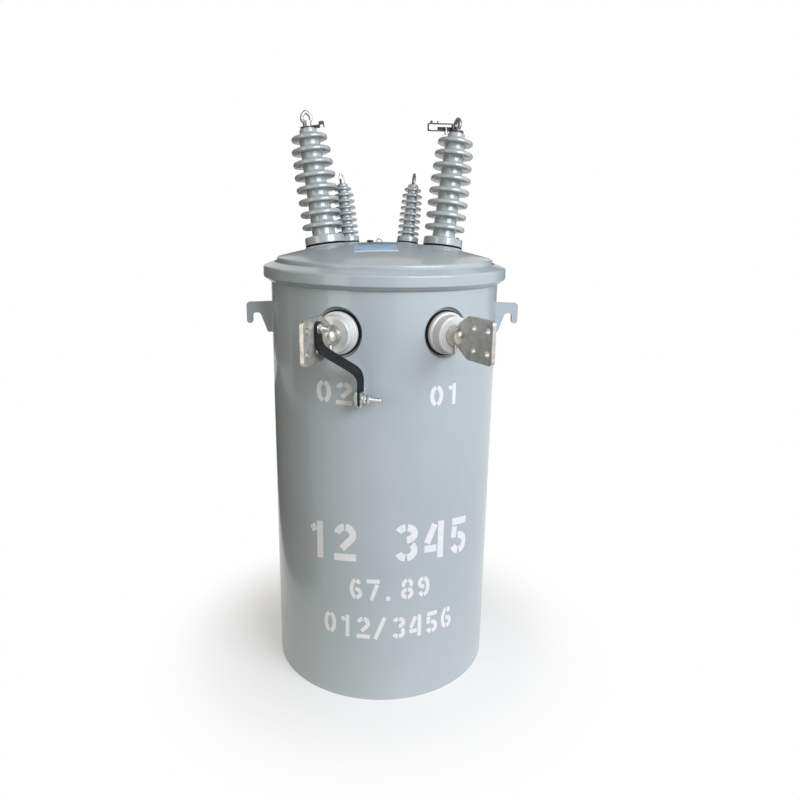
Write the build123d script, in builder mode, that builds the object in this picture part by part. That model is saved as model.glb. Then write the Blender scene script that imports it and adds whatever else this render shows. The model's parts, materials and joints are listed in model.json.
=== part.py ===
"""Pole mounted distribution transformer: a steel tank with porcelain bushings.

Millimetres, +Z up. The origin is the centre of the tank's underside, and the low
voltage terminals face -Y, so that the pole brackets are at the back, +Y.
"""

from build123d import *
from math import cos, radians, sin, sqrt, tan
import os

os.makedirs("parts", exist_ok=True)

# ---------------------------------------------------------------- driving sizes
# Heights hang from the tank's lip and reaches stand off its wall, so that what is
# fixed to the tank follows it.
seat_gap = 0.2              # left between curved faces that seat on each other
overcut = 1.0               # that a cut runs past the faces that it opens
root_radius = 0.01          # at an outline's corners inside the piece that carries it
root_depth = 10.0           # of a lug's outline inside the tank's wall, where it is cut off

tank_radius = 215.0
tank_height = 793.0         # top of the tank's lip, at its inside
tank_wall = 3.0
bottom_thickness = 4.0

band_overhang = 14.0        # of the clamping band beyond the tank's wall
band_sheet = 3.0
band_height = 18.6
band_lip_drop = 8.6         # of the band's lower lip toward the wall
band_edge_inset = 9.0       # of the band's top edge inside the tank's wall
band_clearance = 2.0        # from the band's edges to the wall and the cover's step
band_gap = 16.0             # between the band's ends, at the back
band_corners = [1.6, 5.0, 2.5, 0.8, 0.8, 1.2, 2.0, 0.8]
clamp_slope = 20.0          # degrees that the lip, rim and band slope outward

lip_inset = 5.5             # from the band's outside to the edges that it holds
lip_skirt = 6.5             # how far the lip's edge turns down
cover_gasket_thickness = 6.0
gasket_inset = 1.0          # of the cover's gasket from the tank's inside
cover_sheet = 3.0
cover_rise = 50.0           # of the cover's middle above the tank's lip
dome_radius = 740.0         # of the cover's shallow dome

ear_thickness = 4.0
ear_reach = 26.0
ear_height = 16.0

bolt_size = 10.0            # of the band's and the strap's bolts
bolt_flats = 16.0
bolt_head = 6.4
bolt_nut = 8.4
bolt_clearance = 0.5        # round a bolt in its hole
band_bolt_tail = 18.0

hv_lean_left = 8.4          # degrees that the cover bushings lean outward
hv_lean_right = 6.7
rear_lean = 6.2
hv_lean_back = 7.2          # and backward, about square to the dome
rear_lean_back = 9.6
hv_seat_rise = 2.0          # of each flat seat above the dome
rear_seat_rise = 5.5
seat_margin = 1.0           # of each seat beyond its gasket
seat_corner = 1.2
seat_depth = 12.0           # of the flat seats' bosses, down into the cover or in through the wall
neck_clearance = 1.5        # between a porcelain's neck and its hole
neck_depth = 14.0

hv_left = 113.4             # high voltage bushings, sideways and back from the tank's axis
hv_right = 122.7
hv_back = 85.0
hv_gasket_radius = 39.6
hv_gasket_thickness = 3.6
hv_flange_radius = 39.4
hv_flange_height = 15.5
hv_neck_radius = 22.0
hv_core_bottom = 23.0
hv_core_top = 19.5
hv_shed_radius = 40.5
hv_top_sheds = [39.2, 38.4, 35.1]
hv_shed_count = 8
hv_first_shed = 35.7
hv_shed_pitch = 24.15
hv_shed_rim = 8.0
hv_shed_rise = 7.5          # from a shed's middle up to the core
hv_collar_radius = 17.0
hv_height = 222.0           # of the porcelain above its gasket

rear_left = 66.0            # rear bushings, sideways and back from the tank's axis
rear_right = 55.0
rear_back = 126.0
rear_gasket_radius = 22.0
rear_gasket_thickness = 2.7
rear_flange_radius = 21.8
rear_flange_height = 11.0
rear_neck_radius = 11.0
rear_core_bottom = 12.6
rear_core_top = 9.8
rear_shed_radius = 22.0
rear_top_sheds = [21.4, 21.1, 20.5, 17.1]
rear_shed_count = 8
rear_first_shed = 18.5
rear_shed_pitch = 12.65
rear_shed_rim = 4.6
rear_shed_rise = 4.3
rear_collar_radius = 10.8
rear_height = 116.4

cap_height = 2.5            # metal caps, necks and eyes on the high voltage bushings
cap_radius = 15.6
eye_neck_radius = 8.6
eye_neck_share = 0.62       # of a neck's depth to its width
eye_neck_left = 14.0        # height of each neck above its cap
eye_neck_right = 9.6
eye_width = 24.5
eye_height = 27.0
eye_wire = 6.8
eye_neck_margin = 1.5       # of a cap's top beyond the neck that stands on it
eye_turn_left = 8.0         # degrees that each eye is turned about its bushing
eye_turn_right = 66.0
rear_cap_height = 3.0
rear_cap_radius = 9.6
rear_eye_neck_radius = 5.0
rear_eye_neck_height = 8.4
rear_eye_width = 12.0
rear_eye_height = 17.6
rear_eye_wire = 3.2
clip_sheet = 2.5            # spring clip under the left eye
clip_width = 18.5
clip_reach = 32.0
clip_hook_width = 8.2       # of the bent up end of the clip
clip_hook_rise = 6.1

arm_length = 58.3           # arm beside the right eye, from the neck's axis
arm_start = 7.1
arm_height = 14.0
arm_width = 15.2
arm_sheet = 2.4
arm_rise = 5.2              # above the top of the porcelain
arm_ring_radius = 14.0
arm_ring_height = 3.3
arm_block = 16.9
arm_block_inset = 1.3       # from the arm's edges
arm_block_foot = 1.1        # of the block above the arm's lower edge
arm_rail_height = 4.6
arm_rail_depth = 4.4
arm_bolt_place = 45.8
arm_bolt_size = 6.5
arm_bolt_flats = 14.7
arm_bolt_head = 4.7
arm_stud_place = 22.3
arm_stud_length = 13.6
arm_stud_radius = 3.0

lv_angle = 25.25            # low voltage bushings, degrees each side of the front
lv_drop = 91.5              # of their centres below the tank's lip
lv_seat_radius = 40.5
lv_seat_depth = 7.0         # that each flat seat is pressed in from the tank's wall
lv_seat_slope = 4.0         # of a seat's edge outward, from its flat to the wall
lv_gasket_radius = 38.8
lv_gasket_thickness = 4.0
lv_flange_radius = 36.2
lv_flange_depth = 9.0
lv_waist_radius = 32.5
lv_front_radius = 31.5
lv_body_depth = 28.0
lv_neck_radius = 17.0
lv_collar_radius = 18.0
lv_collar_rim = 2.0         # thickness of the collar's rim
lv_collar_depth = 5.0
lv_collar_gap = 1.0
lv_collar_step = 2.0        # of the collar's boss inside its rim
stud_radius = 14.5
stud_reach = 18.0           # from the collar to the end of the stud's dome

pad_height = 71.0
pad_thickness = 6.6
pad_rise = 1.5              # of the blade's middle above its stud's
pad_reach = 98.0            # from the collar to the blade's tip
pad_root = 4.0              # of the blade inside its stud, and of its first slope
pad_neck_height = 42.0
pad_neck_length = 34.0      # from the collar to where the blade has its full height
pad_neck_share = 0.6        # of the neck's height, where the blade leaves the stud
pad_corner = 7.0
pad_hole = 11.0
pad_hole_spacing = 36.0
pad_hole_edge = 11.5        # from the outer holes to the tip

strap_width = 23.0
strap_sheet = 2.5
strap_stand_off = 16.0      # of the strap's lower end from the tank's wall
strap_offset = 48.0         # of the lower end beside the left blade
strap_upper_knee = 11.5     # below the middle of the low voltage bushings
strap_lower_knee = 43.0     # above the ground bolt
strap_bend = 40.0
strap_side_bend = 24.0
strap_end_corner = 9.0
strap_foot_corner = 4.0
strap_end_margin = 11.0     # of metal beyond the strap's bolts
strap_bolt_tail = 9.0
ground_drop = 104.5         # of the ground bolt below the low voltage bushings
ground_tab_thickness = 4.0
ground_tab_height = 30.0
ground_tab_margin = 13.0    # of metal beyond the ground bolt
ground_tab_corner = 7.0
ground_bolt_size = 9.0
ground_bolt_reach = 36.0    # beyond the strap
ground_bolt_flats = 14.0
ground_bolt_head = 5.5
ground_bolt_nut = 7.5
ground_bolt_locknut = 5.0
ground_locknut_place = 12.0  # beyond the strap
ground_lug_height = 27.0
ground_lug_width = 15.0
ground_lug_sheet = 3.0
ground_lug_corner = 3.0
ground_lug_drop = 2.0       # of the lug's middle below its bolt

lug_thickness = 9.0         # lifting lugs
lug_drop = 62.0             # of their tops below the tank's lip
lug_height = 59.0
lug_projection = 48.5       # from the tank's wall
lug_foot_width = 9.5
lug_tip_width = 11.5
lug_tip_drop = 42.0
lug_slot_rise = 20.0
lug_slot_width = 14.0
lug_top_slope = 2.0
lug_corner = 6.0
lug_foot_corner = 2.0

bracket_spacing = 285.75    # pole brackets, hole to hole
bracket_lower_height = 330.0
bracket_width = 90.0
bracket_height = 96.0
bracket_sheet = 6.0
bracket_depth = 53.0        # from the tank's wall to the face that meets the pole
bracket_slot_width = 17.5
bracket_slot_length = 36.0
bracket_corner = 8.0
bracket_inner_corner = 2.0

wing_radius = 5.4           # small wire arch and plug on the cover
wing_wire = 1.8
wing_leg = 1.6              # of the arch's straight legs
wing_place = (-8.8, 45.0)
plug_radius = 6.2
plug_height = 3.6
plug_place = (-28.0, 12.0)
foot_clearance = 0.02       # of the plug and eye above the dome

# ---------------------------------------------------------------- derived sizes
tank_inner = tank_radius - tank_wall
band_radius = tank_radius + band_overhang
lip_radius = band_radius - lip_inset
band_edge_radius = tank_radius - band_edge_inset
band_lower_edge = tank_radius + band_clearance
cover_step_radius = band_edge_radius - band_clearance
cover_apex = tank_height + cover_rise

rim_under = seat_gap + cover_gasket_thickness + seat_gap
rim_over = rim_under + cover_sheet
flange_under = rim_over + seat_gap
flange_over = flange_under + band_sheet


def clamp_z(radius, layer=0.0):
    """Height of the sloping clamped layers at a radius, from the top of the tank's lip."""
    return tank_height - (radius - tank_inner) * tan(radians(clamp_slope)) + layer


def dome_z(radius, inset=0.0):
    """Height of the dome's outer face at a radius, or of a face inset below it."""
    return cover_apex - dome_radius + sqrt((dome_radius - inset) ** 2 - radius**2)


band_foot = clamp_z(band_radius, flange_over) - band_height
band_lip_foot = band_foot - band_lip_drop
lip_fall = band_lip_drop / (band_radius - band_lower_edge)
band_lip_thickness = band_sheet * sqrt(1 + lip_fall**2)

lv_height = tank_height - lv_drop
lv_start = tank_radius - lv_seat_depth
lv_body = lv_start + lv_gasket_thickness
lv_front = lv_body + lv_body_depth
lv_collar_start = lv_front + lv_collar_gap
lv_collar_face = lv_collar_start + lv_collar_depth
stud_end = lv_collar_face + stud_reach
pad_tip = lv_collar_face + pad_reach
pad_shoulder = lv_collar_face + pad_neck_length
pad_hole_out = pad_tip - pad_hole_edge
pad_hole_in = pad_hole_out - pad_hole_spacing
pad_middle = lv_height + pad_rise

ground_height = lv_height - ground_drop
strap_lower_reach = tank_radius + strap_stand_off
strap_knee_high = lv_height - strap_upper_knee
strap_knee_low = ground_height + strap_lower_knee

lug_top = tank_height - lug_drop
lug_foot = lug_top - lug_height
lug_reach = tank_radius + lug_projection
bracket_face = tank_radius + bracket_depth


def finish(part, label):
    """Name a finished sub-part and write it."""
    part.label = label
    export_step(part, f"parts/{label}.step")


def turning_plane(origin, along, across):
    """Plane for a turned outline: its Y runs along the axis and its X across it."""
    return Plane(origin=origin, x_dir=across, z_dir=Vector(*across).cross(Vector(*along)))


def turned(plane, points, radii):
    """Solid turned about the plane's Y from an outline that starts and ends on it."""
    with BuildPart() as piece:
        with BuildSketch(plane):
            with BuildLine():
                outline = FilletPolyline(*points, radius=radii)
                Line(outline @ 1, outline @ 0)
            make_face()
        revolve(axis=Axis(plane.origin, plane.y_dir))
    return piece.part


def ring(plane, inner, outer, start, height):
    """Plain ring about the plane's Y."""
    with BuildPart() as piece:
        with BuildSketch(plane):
            with BuildLine():
                Polyline(
                    (inner, start),
                    (outer, start),
                    (outer, start + height),
                    (inner, start + height),
                    close=True,
                )
            make_face()
        revolve(axis=Axis(plane.origin, plane.y_dir))
    return piece.part


# ---------------------------------------------------------------- tank
lv_sides = {"left": -lv_angle, "right": lv_angle}


def lv_directions(angle):
    """Outward and sideways directions of a low voltage bushing at an angle from the front."""
    turn = radians(angle)
    return (sin(turn), -cos(turn), 0), (cos(turn), sin(turn), 0)


def lv_plane(angle):
    """Turning plane of a low voltage bushing, from the tank's axis outward."""
    outward, sideways = lv_directions(angle)
    return turning_plane((0, 0, lv_height), outward, sideways)


def lv_pocket(angle, sheet):
    """Solid that fills a pressed seat's pocket, or with its sheet, the pocket and its walls."""
    edge = lv_seat_radius + sheet
    points = [
        (0, lv_start - sheet),
        (edge, lv_start - sheet),
        (edge + lv_seat_slope, tank_radius + overcut),
        (0, tank_radius + overcut),
    ]
    return turned(lv_plane(angle), points, [lv_seat_slope / 2, 0])


lv_hole_radius = lv_neck_radius + neck_clearance
lv_seat_edge = lv_seat_radius + lv_seat_slope + tank_wall + overcut

with BuildPart() as tank_shell:
    with BuildSketch(Plane.XZ):
        with BuildLine():
            Polyline(
                (tank_inner, 0),
                (tank_radius, 0),
                (tank_radius, clamp_z(tank_radius, -tank_wall)),
                (lip_radius - tank_wall, clamp_z(lip_radius - tank_wall, -tank_wall)),
                (lip_radius - tank_wall, clamp_z(lip_radius) - lip_skirt),
                (lip_radius, clamp_z(lip_radius) - lip_skirt),
                (lip_radius, clamp_z(lip_radius)),
                (tank_inner, clamp_z(tank_inner)),
                close=True,
            )
        make_face()
    revolve(axis=Axis.Z)
    for angle in lv_sides.values():
        add(lv_pocket(angle, tank_wall))
    with BuildSketch(Plane.XY.offset(lv_height - lv_seat_edge)):
        Circle(band_radius)
        Circle(tank_radius, mode=Mode.SUBTRACT)
    extrude(amount=2 * lv_seat_edge, mode=Mode.SUBTRACT)
    for angle in lv_sides.values():
        add(lv_pocket(angle, 0), mode=Mode.SUBTRACT)
        outward, sideways = lv_directions(angle)
        start = Vector(0, 0, lv_height) + Vector(*outward) * (tank_inner / 2)
        with BuildSketch(Plane(origin=start, x_dir=sideways, z_dir=outward)):
            Circle(lv_hole_radius)
        extrude(amount=tank_radius, mode=Mode.SUBTRACT)
finish(tank_shell.part, "tank_shell")

with BuildPart() as tank_bottom:
    with BuildSketch():
        Circle(tank_inner - seat_gap)
    extrude(amount=bottom_thickness)
finish(tank_bottom.part, "tank_bottom")

with BuildPart() as cover_gasket:
    gasket_edge = tank_inner + gasket_inset
    gasket_over = seat_gap + cover_gasket_thickness
    with BuildSketch(Plane.XZ):
        with BuildLine():
            Polyline(
                (gasket_edge, clamp_z(gasket_edge, seat_gap)),
                (lip_radius, clamp_z(lip_radius, seat_gap)),
                (lip_radius, clamp_z(lip_radius, gasket_over)),
                (gasket_edge, clamp_z(gasket_edge, gasket_over)),
                close=True,
            )
        make_face()
    revolve(axis=Axis.Z)
finish(cover_gasket.part, "cover_gasket")

# ---------------------------------------------------------------- cover bushings
# Each bushing stands on the flat top of a low boss and leans outward and backward.


def bushing_plane(place, height):
    """Turning plane of a cover bushing, with its origin on the axis, height above the seat."""
    x, y, lean, back, rise = place
    lean, back = radians(lean), radians(back)
    along = Vector(sin(lean) * cos(back), sin(back), cos(lean) * cos(back))
    seat = Vector(x, y, dome_z(sqrt(x * x + y * y)) + rise)
    return turning_plane(seat + along * height, tuple(along), (cos(lean), 0, -sin(lean)))


def across(plane):
    """Plane across a turning plane's axis, at its origin."""
    return Plane(origin=plane.origin, x_dir=plane.x_dir, z_dir=plane.y_dir)


def seat_plane(place):
    """Plane of a cover bushing's flat seat."""
    return across(bushing_plane(place, 0))


def seat_boss(place, gasket_radius):
    """Boss under a cover bushing, with its sides sloping out into the dome."""
    rim = gasket_radius + seat_margin
    outline = [(0, -seat_depth), (rim + seat_depth, -seat_depth), (rim, 0), (0, 0)]
    return turned(bushing_plane(place, 0), outline, [0, seat_corner])


# Each place is a bushing's X and Y on the cover, its two leans and its seat's rise.
hv_places = {
    "left": (-hv_left, hv_back, -hv_lean_left, hv_lean_back, hv_seat_rise),
    "right": (hv_right, hv_back, hv_lean_right, hv_lean_back, hv_seat_rise),
}
rear_places = {
    "left": (-rear_left, rear_back, -rear_lean, rear_lean_back, rear_seat_rise),
    "right": (rear_right, rear_back, rear_lean, rear_lean_back, rear_seat_rise),
}
seats = [(place, hv_gasket_radius, hv_neck_radius) for place in hv_places.values()]
seats += [(place, rear_gasket_radius, rear_neck_radius) for place in rear_places.values()]
bosses = [seat_boss(place, gasket_radius) for place, gasket_radius, neck_radius in seats]

with BuildPart() as cover:
    cover_under = clamp_z(cover_step_radius, rim_under)
    with BuildSketch(Plane.XZ):
        with BuildLine():
            ThreePointArc(
                (0, cover_apex),
                (cover_step_radius / 2, dome_z(cover_step_radius / 2)),
                (cover_step_radius, dome_z(cover_step_radius)),
            )
            Polyline(
                (cover_step_radius, dome_z(cover_step_radius)),
                (cover_step_radius, clamp_z(cover_step_radius, rim_over)),
                (lip_radius, clamp_z(lip_radius, rim_over)),
                (lip_radius, clamp_z(lip_radius, rim_under)),
                (cover_step_radius, cover_under),
                (0, cover_under),
                (0, cover_apex),
            )
        make_face()
    revolve(axis=Axis.Z)
    step_edge = cover.edges().filter_by(lambda edge: edge.is_closed).sort_by(Axis.Z)[-1]
    fillet(step_edge, 1.5 * cover_sheet)
    add(bosses)
    for place, gasket_radius, neck_radius in seats:
        with BuildSketch(seat_plane(place)):
            Circle(gasket_radius + seat_margin)
        extrude(amount=seat_depth, mode=Mode.SUBTRACT)
    with BuildSketch(Plane.XZ):
        with BuildLine():
            inner_radius = cover_step_radius - cover_sheet
            ThreePointArc(
                (0, dome_z(0, cover_sheet)),
                (inner_radius / 2, dome_z(inner_radius / 2, cover_sheet)),
                (inner_radius, dome_z(inner_radius, cover_sheet)),
            )
            Polyline(
                (inner_radius, dome_z(inner_radius, cover_sheet)),
                (inner_radius, cover_under - overcut),
                (0, cover_under - overcut),
                (0, dome_z(0, cover_sheet)),
            )
        make_face()
    revolve(axis=Axis.Z, mode=Mode.SUBTRACT)
    for place, gasket_radius, neck_radius in seats:
        with BuildSketch(seat_plane(place)):
            Circle(neck_radius + neck_clearance)
        extrude(amount=2 * seat_depth, both=True, mode=Mode.SUBTRACT)
finish(cover.part, "cover")


def shed_outline(core, radii, first, pitch, rim, rise):
    """Outline points of a stack of sheds and the fillet at each, from the bottom up.

    core gives the core's radius at a height. Each shed slopes gently from the core down
    to a thick rounded rim, and its underside is all but flat.
    """
    points = []
    fillets = []
    for index, radius in enumerate(radii):
        height = first + index * pitch
        points += [
            (core(height), height - 0.42 * rim),
            (radius, height - 0.5 * rim),
            (radius, height + 0.5 * rim),
            (core(height + rise), height + rise),
        ]
        fillets += [0.35 * rim, 0.3 * rim, 0.55 * rim, 0.5 * rim]
    return points, fillets


def porcelain(plane, neck, flange, flange_height, core_ends, shed_sizes, shed_places, collar, height):
    """Ribbed porcelain with its clamped flange, standing on the plane's origin.

    shed_places is the first shed's height, the pitch, the rim and the rise of a shed.
    """

    def core(z):
        share = (z - flange_height) / (height - flange_height)
        return core_ends[0] + (core_ends[1] - core_ends[0]) * share

    sheds, shed_fillets = shed_outline(core, shed_sizes, *shed_places)
    foot = [(0, -neck_depth), (neck, -neck_depth), (neck, 0), (flange, 0)]
    foot += [(flange, flange_height), (core(flange_height), flange_height)]
    sheds[-1] = (collar, sheds[-1][1])
    head = [(collar, height), (0, height)]
    corner = 0.07 * flange
    fillets = [0, 0, corner * 0.4, corner, corner] + shed_fillets + [0.1 * collar]
    return turned(plane, foot + sheds + head, fillets)


def shed_radii(full, top, count):
    """Radius of each shed from the bottom up, the last few smaller than the rest."""
    return [full] * (count - len(top)) + top


def cap(plane, radius, height, neck):
    """Metal cap on a porcelain, sloping up to the neck of its eye."""
    shoulder = neck + eye_neck_margin
    points = [(0, 0), (radius, 0), (radius, 0.35 * height), (shoulder, height), (0, height)]
    return turned(plane, points, [0, 0.1 * height, 0.3 * height])


def eye_plane(plane, turn):
    """Plane across a turning plane's axis, with its X along an eye's width."""
    facing = plane.z_dir.rotate(Axis((0, 0, 0), plane.y_dir), turn)
    return Plane(origin=plane.origin, x_dir=plane.y_dir.cross(facing), z_dir=plane.y_dir)


def eye(plane, turn, neck, neck_height, width, height, wire):
    """Eye bolt that stands on a cap: a flattened neck and a pointed ring, turned about it."""
    foot = eye_plane(plane, turn)
    ring_foot = foot.origin + foot.z_dir * (neck_height - wire)
    tip = 0.3 * width
    with BuildPart() as piece:
        with BuildSketch(Plane(origin=ring_foot, x_dir=foot.x_dir, z_dir=-foot.y_dir)):
            with Locations((0, width / 2)):
                Circle(width / 2)
            with Locations((0, height - tip)):
                Circle(tip)
            make_hull()
            offset(amount=-wire, mode=Mode.SUBTRACT)
        extrude(amount=wire / 2, both=True)
        fillet(piece.edges(), 0.3 * wire)
        with BuildSketch(foot):
            Ellipse(neck, eye_neck_share * neck)
        extrude(amount=neck_height)
    return piece.part


hv_sheds = shed_radii(hv_shed_radius, hv_top_sheds, hv_shed_count)
hv_shed_places = (hv_first_shed, hv_shed_pitch, hv_shed_rim, hv_shed_rise)
hv_top = hv_gasket_thickness + hv_height
rear_sheds = shed_radii(rear_shed_radius, rear_top_sheds, rear_shed_count)
rear_shed_places = (rear_first_shed, rear_shed_pitch, rear_shed_rim, rear_shed_rise)
rear_top = rear_gasket_thickness + rear_height
eye_turns = {"left": eye_turn_left, "right": -eye_turn_right}
eye_neck_heights = {"left": eye_neck_left, "right": eye_neck_right}

for side, place in hv_places.items():
    seat = bushing_plane(place, 0)
    gasket = ring(seat, hv_neck_radius + neck_clearance, hv_gasket_radius, 0, hv_gasket_thickness)
    finish(gasket, f"hv_gasket_{side}")
    body = porcelain(
        bushing_plane(place, hv_gasket_thickness),
        hv_neck_radius,
        hv_flange_radius,
        hv_flange_height,
        (hv_core_bottom, hv_core_top),
        hv_sheds,
        hv_shed_places,
        hv_collar_radius,
        hv_height,
    )
    finish(body, f"hv_bushing_{side}")
    top = bushing_plane(place, hv_top)
    finish(cap(top, cap_radius, cap_height, eye_neck_radius), f"hv_cap_{side}")
    loop = eye(
        bushing_plane(place, hv_top + cap_height),
        eye_turns[side],
        eye_neck_radius,
        eye_neck_heights[side],
        eye_width,
        eye_height,
        eye_wire,
    )
    finish(loop, f"hv_eye_{side}")

for side, place in rear_places.items():
    seat = bushing_plane(place, 0)
    neck_hole = rear_neck_radius + neck_clearance
    gasket = ring(seat, neck_hole, rear_gasket_radius, 0, rear_gasket_thickness)
    finish(gasket, f"rear_gasket_{side}")
    body = porcelain(
        bushing_plane(place, rear_gasket_thickness),
        rear_neck_radius,
        rear_flange_radius,
        rear_flange_height,
        (rear_core_bottom, rear_core_top),
        rear_sheds,
        rear_shed_places,
        rear_collar_radius,
        rear_height,
    )
    finish(body, f"rear_bushing_{side}")
    top = bushing_plane(place, rear_top)
    finish(cap(top, rear_cap_radius, rear_cap_height, rear_eye_neck_radius), f"rear_cap_{side}")
    eye_seat = bushing_plane(place, rear_top + rear_cap_height)
    loop = eye(
        eye_seat,
        eye_turns[side],
        rear_eye_neck_radius,
        rear_eye_neck_height,
        rear_eye_width,
        rear_eye_height,
        rear_eye_wire,
    )
    finish(loop, f"rear_eye_{side}")


# ---------------------------------------------------------------- band and its bolt
back_ear = band_gap / 2 + ear_thickness
ear_middle = clamp_z(band_radius, flange_over) - band_height / 2

with BuildPart() as cover_band:
    with BuildSketch(Plane.XZ):
        with BuildLine():
            FilletPolyline(
                (band_edge_radius, clamp_z(band_edge_radius, flange_over)),
                (band_radius, clamp_z(band_radius, flange_over)),
                (band_radius, band_foot),
                (band_lower_edge, band_lip_foot),
                (band_lower_edge, band_lip_foot + band_lip_thickness),
                (band_radius - band_sheet, band_foot + band_lip_thickness - band_sheet * lip_fall),
                (band_radius - band_sheet, clamp_z(band_radius - band_sheet, flange_under)),
                (band_edge_radius, clamp_z(band_edge_radius, flange_under)),
                radius=band_corners,
                close=True,
            )
        make_face()
    revolve(axis=Axis.Z)
    with Locations((0, band_radius, ear_middle)):
        Box(band_gap, 4 * lip_inset + 4 * band_sheet, 2 * band_height, mode=Mode.SUBTRACT)
    for end in (-1, 1):
        ear_root = band_radius - band_sheet
        with Locations((end * (back_ear - ear_thickness / 2), ear_root, ear_middle)):
            ear_align = (Align.CENTER, Align.MIN, Align.CENTER)
            Box(ear_thickness, ear_reach + band_sheet, ear_height, align=ear_align)
    band_bolt_reach = band_radius + 0.55 * ear_reach
    with Locations(Location((0, band_bolt_reach, ear_middle), (0, 90, 0))):
        Cylinder(bolt_size / 2 + bolt_clearance, 4 * back_ear, mode=Mode.SUBTRACT)
finish(cover_band.part, "cover_band")


def bolt(start, direction, shank, lengths, heads, side_dir):
    """Bolt along a direction: shank plus hexagon heads and nuts.

    lengths is where the shank starts and ends along the direction, and heads is a
    list of (place, thickness, width across flats).
    """
    origin = Vector(*start)
    along = Vector(*direction)
    with BuildPart() as piece:
        with BuildSketch(Plane(origin=origin + along * lengths[0], x_dir=side_dir, z_dir=along)):
            Circle(shank / 2)
        extrude(amount=lengths[1] - lengths[0])
        for place, thickness, flats in heads:
            with BuildSketch(Plane(origin=origin + along * place, x_dir=side_dir, z_dir=along)):
                RegularPolygon(flats / 2, 6, major_radius=False)
            extrude(amount=thickness)
    return piece.part


band_heads = [(-back_ear - bolt_head, bolt_head, bolt_flats), (back_ear, bolt_nut, bolt_flats)]
band_shank = (-back_ear, back_ear + band_bolt_tail)
bolt_middle = (0, band_bolt_reach, ear_middle)
band_bolt = bolt(bolt_middle, (1, 0, 0), bolt_size, band_shank, band_heads, (0, 1, 0))
finish(band_bolt, "band_bolt")

# ---------------------------------------------------------------- low voltage bushings
def lv_terminal(angle):
    """Stud with a domed end and the spade pad that stands on it, in one casting."""
    outward, sideways = lv_directions(angle)
    stud = [(0, lv_collar_face), (stud_radius, lv_collar_face), (stud_radius, stud_end), (0, stud_end)]
    facing = Vector(*outward).cross(Vector(0, 0, 1))
    half = pad_height / 2
    neck = pad_neck_height / 2
    root = lv_collar_face + pad_root
    with BuildPart() as piece:
        add(turned(lv_plane(angle), stud, [0, 0.75 * stud_radius]))
        with BuildSketch(Plane(origin=(0, 0, pad_middle), x_dir=outward, z_dir=facing)):
            with BuildLine():
                FilletPolyline(
                    (root, -pad_neck_share * neck),
                    (root + pad_root, -neck),
                    (pad_shoulder, -half),
                    (pad_tip, -half),
                    (pad_tip, half),
                    (pad_shoulder, half),
                    (root + pad_root, neck),
                    (root, pad_neck_share * neck),
                    radius=[1.5, 3, 3, pad_corner, pad_corner, 3, 3, 1.5],
                    close=True,
                )
            make_face()
            for column in (pad_hole_in, pad_hole_out):
                for row in (-pad_hole_spacing / 2, pad_hole_spacing / 2):
                    with Locations((column, row)):
                        Circle(pad_hole / 2, mode=Mode.SUBTRACT)
        extrude(amount=pad_thickness / 2, both=True)
    return piece.part


for side, angle in lv_sides.items():
    plane = lv_plane(angle)
    gasket = ring(plane, lv_hole_radius, lv_gasket_radius, lv_start, lv_gasket_thickness)
    finish(gasket, f"lv_gasket_{side}")
    outline = [
        (0, lv_start - neck_depth),
        (lv_neck_radius, lv_start - neck_depth),
        (lv_neck_radius, lv_body),
        (lv_flange_radius, lv_body),
        (lv_flange_radius, lv_body + lv_flange_depth),
        (lv_waist_radius, lv_body + lv_flange_depth),
        (lv_front_radius, lv_front),
        (0, lv_front),
    ]
    finish(turned(plane, outline, [0, 0, 1, 3, 0.8, 3]), f"lv_bushing_{side}")
    boss = lv_collar_radius - lv_collar_step
    washer = [
        (0, lv_front),
        (boss, lv_front),
        (boss, lv_collar_start),
        (lv_collar_radius, lv_collar_start),
        (lv_collar_radius, lv_collar_start + lv_collar_rim),
        (boss, lv_collar_start + lv_collar_rim),
        (boss, lv_collar_face),
        (0, lv_collar_face),
    ]
    finish(turned(plane, washer, [0, 0, 0.4, 0.4, 0.3, 0.8]), f"lv_collar_{side}")
    finish(lv_terminal(angle), f"lv_pad_{side}")


# ---------------------------------------------------------------- neutral strap and its ground
# The strap is worked out beside the left blade: sideways is toward the front's middle.
left_out, left_side = lv_directions(-lv_angle)
strap_plane = Plane(origin=(0, 0, 0), x_dir=left_side, z_dir=left_out)
blade_plane = Plane(origin=(0, 0, 0), x_dir=left_out, z_dir=Vector(*left_out).cross(Vector(0, 0, 1)))
strap_top = pad_middle + pad_hole_spacing / 2
strap_upper_offset = pad_thickness / 2 + strap_sheet / 2
strap_shift = pad_hole_in - strap_lower_reach
strap_drop = strap_knee_high - strap_knee_low
strap_slant = 0.5 * strap_width * (sqrt(strap_shift**2 + strap_drop**2) / strap_drop - 1)
strap_slant *= strap_drop / strap_shift
strap_corners = [strap_end_corner, strap_side_bend, strap_side_bend, strap_foot_corner]
strap_corners += strap_corners[::-1]
ground_hole = ground_bolt_size / 2 + bolt_clearance


def beside_blade(reach, offset, height):
    """Point at a reach from the tank's axis, an offset beside the left blade and a height."""
    return Vector(*left_out) * reach + Vector(*left_side) * offset + Vector(0, 0, height)


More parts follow.
